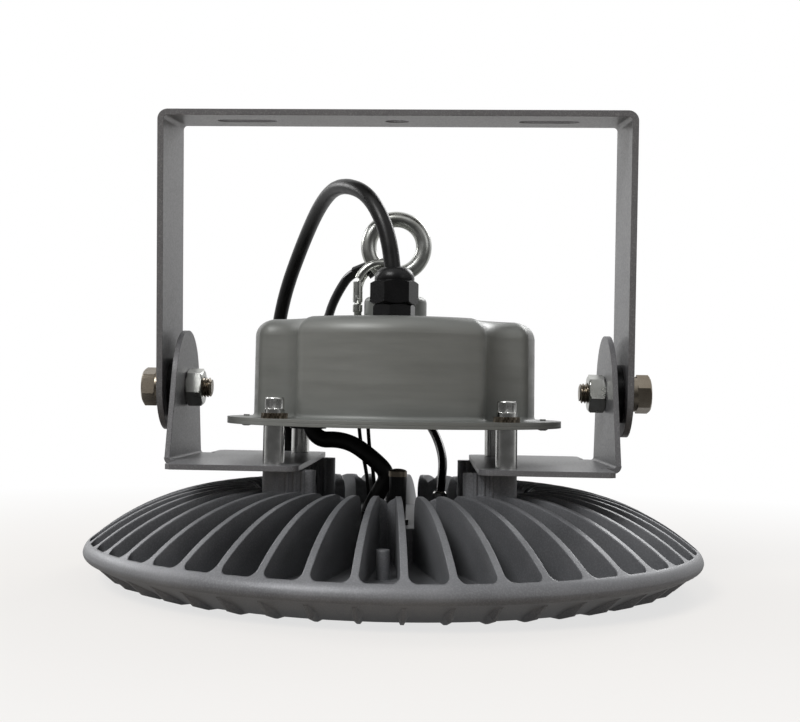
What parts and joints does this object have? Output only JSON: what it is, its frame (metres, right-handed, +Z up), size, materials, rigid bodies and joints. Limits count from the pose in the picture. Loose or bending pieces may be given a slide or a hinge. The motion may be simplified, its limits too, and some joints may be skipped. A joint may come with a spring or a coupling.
{
  "type": "high bay light",
  "caption": "Round finned high bay light with a driver housing on posts, a lifting eye with a safety hook, a cable gland and a tilting yoke bracket.",
  "frame": {"origin": "on the lamp's axis, in the plane that the lowest ribs of the heat sink stand on", "axes": "+Z up along the lamp's axis, X along the yoke's pivot bolts, -Y towards the side with the cable gland"},
  "size_m": [0.3, 0.3438, 0.2316],
  "materials": {
    "cast_aluminium": "grey lacquered die casting",
    "grey_paint": "satin grey paint on pressed steel",
    "grey_strip": "grey powder coat on steel strip",
    "plain_steel": "bare steel fasteners",
    "bright_chrome": "bright plated steel",
    "black_nylon": "black nylon",
    "black_rubber": "black cable sheath",
    "black_coat": "black glossy coat on steel rope",
    "friction_fibre": "black friction disc",
    "clear_glass": "clear tempered glass",
    "silicone": "pale silicone",
    "board_white": "white lacquered metal circuit board",
    "led_yellow": "yellow phosphor",
    "driver_metal": "plain driver case",
    "block_white": "white terminal block",
    "copper_core": "insulated cores"
  },
  "bodies": {
    "lamp": {"heat_sink": "cast_aluminium", "hub_bushing": "black_nylon", "vent_plug": "black_nylon", "vent_cap": "bright_chrome", "rope_stud": "bright_chrome", "led_board": "board_white", "led_chips": "led_yellow", "led_board_screws": "plain_steel", "lens_gasket": "silicone", "lens": "clear_glass", "lens_ring": "grey_paint", "lens_ring_screws": "plain_steel", "lug_bracket_left": "grey_strip", "lug_bracket_right": "grey_strip", "posts": "bright_chrome", "post_screws": "bright_chrome", "post_spring_washers": "bright_chrome", "toothed_washers": "bright_chrome", "driver_housing": "grey_paint", "cover_plate": "grey_paint", "cable_grommet": "black_rubber", "cover_screws": "bright_chrome", "driver_case": "driver_metal", "driver_screws": "plain_steel", "terminal_block": "block_white", "gland_body": "black_nylon", "gland_nut": "black_nylon", "gland_seal": "black_rubber", "gland_locknut": "black_nylon", "eye_boss": "grey_paint", "eye_bolt": "bright_chrome", "eye_washer": "plain_steel", "eye_nut": "plain_steel", "snap_hook": "bright_chrome", "gate_pin": "plain_steel", "rope_end": "black_coat", "pivot_bolt_left": "plain_steel", "pivot_nut_left": "plain_steel", "spring_washer_left": "plain_steel", "flat_washer_left": "plain_steel", "friction_disc_left": "friction_fibre", "pivot_bolt_right": "plain_steel", "pivot_nut_right": "plain_steel", "spring_washer_right": "plain_steel", "flat_washer_right": "plain_steel", "friction_disc_right": "friction_fibre", "output_cable": "black_rubber", "safety_rope": "black_coat", "mains_cable": "black_rubber", "mains_cores": "copper_core", "sensor_wire_1": "black_rubber", "sensor_wire_2": "black_rubber"},
    "yoke_arm": {"yoke": "grey_strip"},
    "gate": {"snap_gate": "bright_chrome"}
  },
  "joints": [
    {"name": "yoke_tilt", "type": "hinge", "parent": "lamp", "child": "yoke_arm", "pos_m": [0, 0, 0.092], "axis": [1, 0, 0], "range_deg": [-90, 80]},
    {"name": "gate_swing", "type": "hinge", "parent": "lamp", "child": "gate", "pos_m": [-0.0187, -0.008, 0.1372], "axis": [-1, 0, 0], "range_deg": [0, 25], "stiffness_Nm_per_rad": 0.01, "springref_deg": -22.92}
  ]
}
